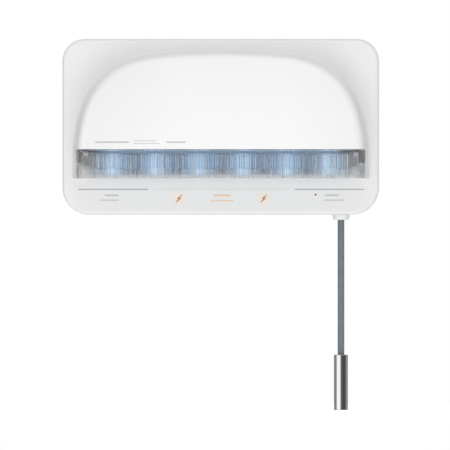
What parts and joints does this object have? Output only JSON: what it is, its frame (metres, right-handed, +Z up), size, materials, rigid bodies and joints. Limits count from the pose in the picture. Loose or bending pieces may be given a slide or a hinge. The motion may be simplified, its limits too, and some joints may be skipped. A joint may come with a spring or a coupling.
{
  "type": "toothbrush sanitizer",
  "caption": "Wall-mounted toothbrush sanitizer: arched white hood on a flat plate, smoked ribbed visor, lit brush chamber, slotted brush rack and a hanging pull cord with a metal handle.",
  "frame": {"origin": "middle of the wall bracket's back face, on the wall", "axes": "+X to the viewer's right, +Y into the wall, +Z up"},
  "size_m": [0.27, 0.06, 0.3169],
  "materials": {
    "battery_wrap": "shrink wrap",
    "bracket_steel": "powder-coated steel",
    "circuit_board": "green solder mask",
    "clamp_brass": "crimped",
    "coil_copper": "enamelled copper",
    "component_black": "moulded",
    "cord_slate": "braided",
    "dark_plastic": "moulded",
    "dark_rubber": "matte silicone",
    "ferrite": "sintered ferrite",
    "grey_plastic": "textured",
    "grip_rubber": "soft touch",
    "handle_steel": "polished",
    "heatsink_aluminium": "extruded",
    "led_blue": "light emitter",
    "lens_blue": "frosted, lit from behind",
    "liner_white": "white, glossy",
    "pin_steel": "stainless",
    "port_steel": "stamped",
    "rack_plastic": "translucent grey",
    "reflector_aluminium": "polished",
    "ribbon_cable": "flat cable",
    "screw_steel": "zinc plated",
    "silicone_white": "silicone",
    "smoked_plastic": "smoked",
    "spring_steel": "spring wire",
    "visor_smoke": "ribbed, smoke tinted",
    "white_nylon": "moulded",
    "white_shell": "white ABS, fine satin gloss",
    "wire_red": "insulated wire"
  },
  "bodies": {
    "wall": {"wall_bracket": "bracket_steel"},
    "main_unit": {"battery_lead": "wire_red", "battery_pack": "battery_wrap", "battery_tray": "grey_plastic", "board_components": "component_black", "board_screws": "screw_steel", "carrier_screws": "screw_steel", "case_gasket": "dark_rubber", "case_screws": "screw_steel", "chamber_liner": "liner_white", "charging_coils": "coil_copper", "coil_carrier": "grey_plastic", "coil_ferrites": "ferrite", "cord_grommet": "white_nylon", "front_casing": "white_shell", "hinge_arms": "grey_plastic", "hinge_screws": "screw_steel", "led_board": "circuit_board", "led_cable": "ribbon_cable", "led_heatsink": "heatsink_aluminium", "led_screws": "screw_steel", "lens_seals": "dark_rubber", "liner_screws": "screw_steel", "main_board": "circuit_board", "microswitch": "component_black", "port_board": "circuit_board", "port_screws": "screw_steel", "rear_cover": "white_shell", "reflector_sheet": "reflector_aluminium", "return_spring": "spring_steel", "status_board": "circuit_board", "status_light_pipe": "smoked_plastic", "switch_cover": "grey_plastic", "switch_housing": "grey_plastic", "switch_screws": "screw_steel", "tray_screws": "screw_steel", "usb_port": "port_steel", "uv_leds": "led_blue", "uv_lenses": "lens_blue"},
    "visor": {"visor": "visor_smoke", "visor_ears": "dark_plastic", "hinge_pins": "pin_steel"},
    "brush_rack": {"brush_rack": "rack_plastic", "slot_grips": "grip_rubber"},
    "pull_slider": {"pull_slider": "white_nylon", "cord_clamp": "clamp_brass", "cord_upper": "cord_slate"},
    "pull_cord": {"cord_lower": "cord_slate", "pull_handle": "handle_steel", "handle_plug": "dark_plastic"},
    "switch_lever": {"switch_lever": "pin_steel"},
    "port_plug": {"port_plug": "silicone_white"}
  },
  "joints": [
    {"name": "unit_lift_off", "type": "slide", "parent": "wall", "child": "main_unit", "axis": [0, 0, 1], "range_m": [0, 0.007]},
    {"name": "visor_swing", "type": "hinge", "parent": "main_unit", "child": "visor", "pos_m": [0, -0.0562, -0.02355], "axis": [-1, 0, 0], "range_deg": [0, 85]},
    {"name": "rack_pull_down", "type": "slide", "parent": "main_unit", "child": "brush_rack", "axis": [0, 0, -1], "range_m": [0, 0.028], "stiffness_N_per_m": 0.1, "springref_m": -3.02},
    {"name": "cord_pull", "type": "slide", "parent": "main_unit", "child": "pull_slider", "axis": [0, 0, -1], "range_m": [0, 0.008], "stiffness_N_per_m": 300, "springref_m": -0.01, "deforming": ["return_spring"]},
    {"name": "lever_turn", "type": "hinge", "parent": "main_unit", "child": "switch_lever", "pos_m": [0.1115, -0.0125, -0.065], "axis": [0, 1, 0], "range_deg": [0, 5.5]},
    {"name": "cord_swing", "type": "hinge", "parent": "pull_slider", "child": "pull_cord", "pos_m": [0.1027, -0.0125, -0.076], "axis": [0, 1, 0], "range_deg": [-20, 20]},
    {"name": "plug_pull", "type": "slide", "parent": "main_unit", "child": "port_plug", "axis": [0, 0, -1], "range_m": [0, 0.008], "stiffness_N_per_m": 0.01, "springref_m": -0.17}
  ],
  "couplings": [
    {"joint": "lever_turn", "follows": "cord_pull", "rad_per_m": 11.56}
  ]
}
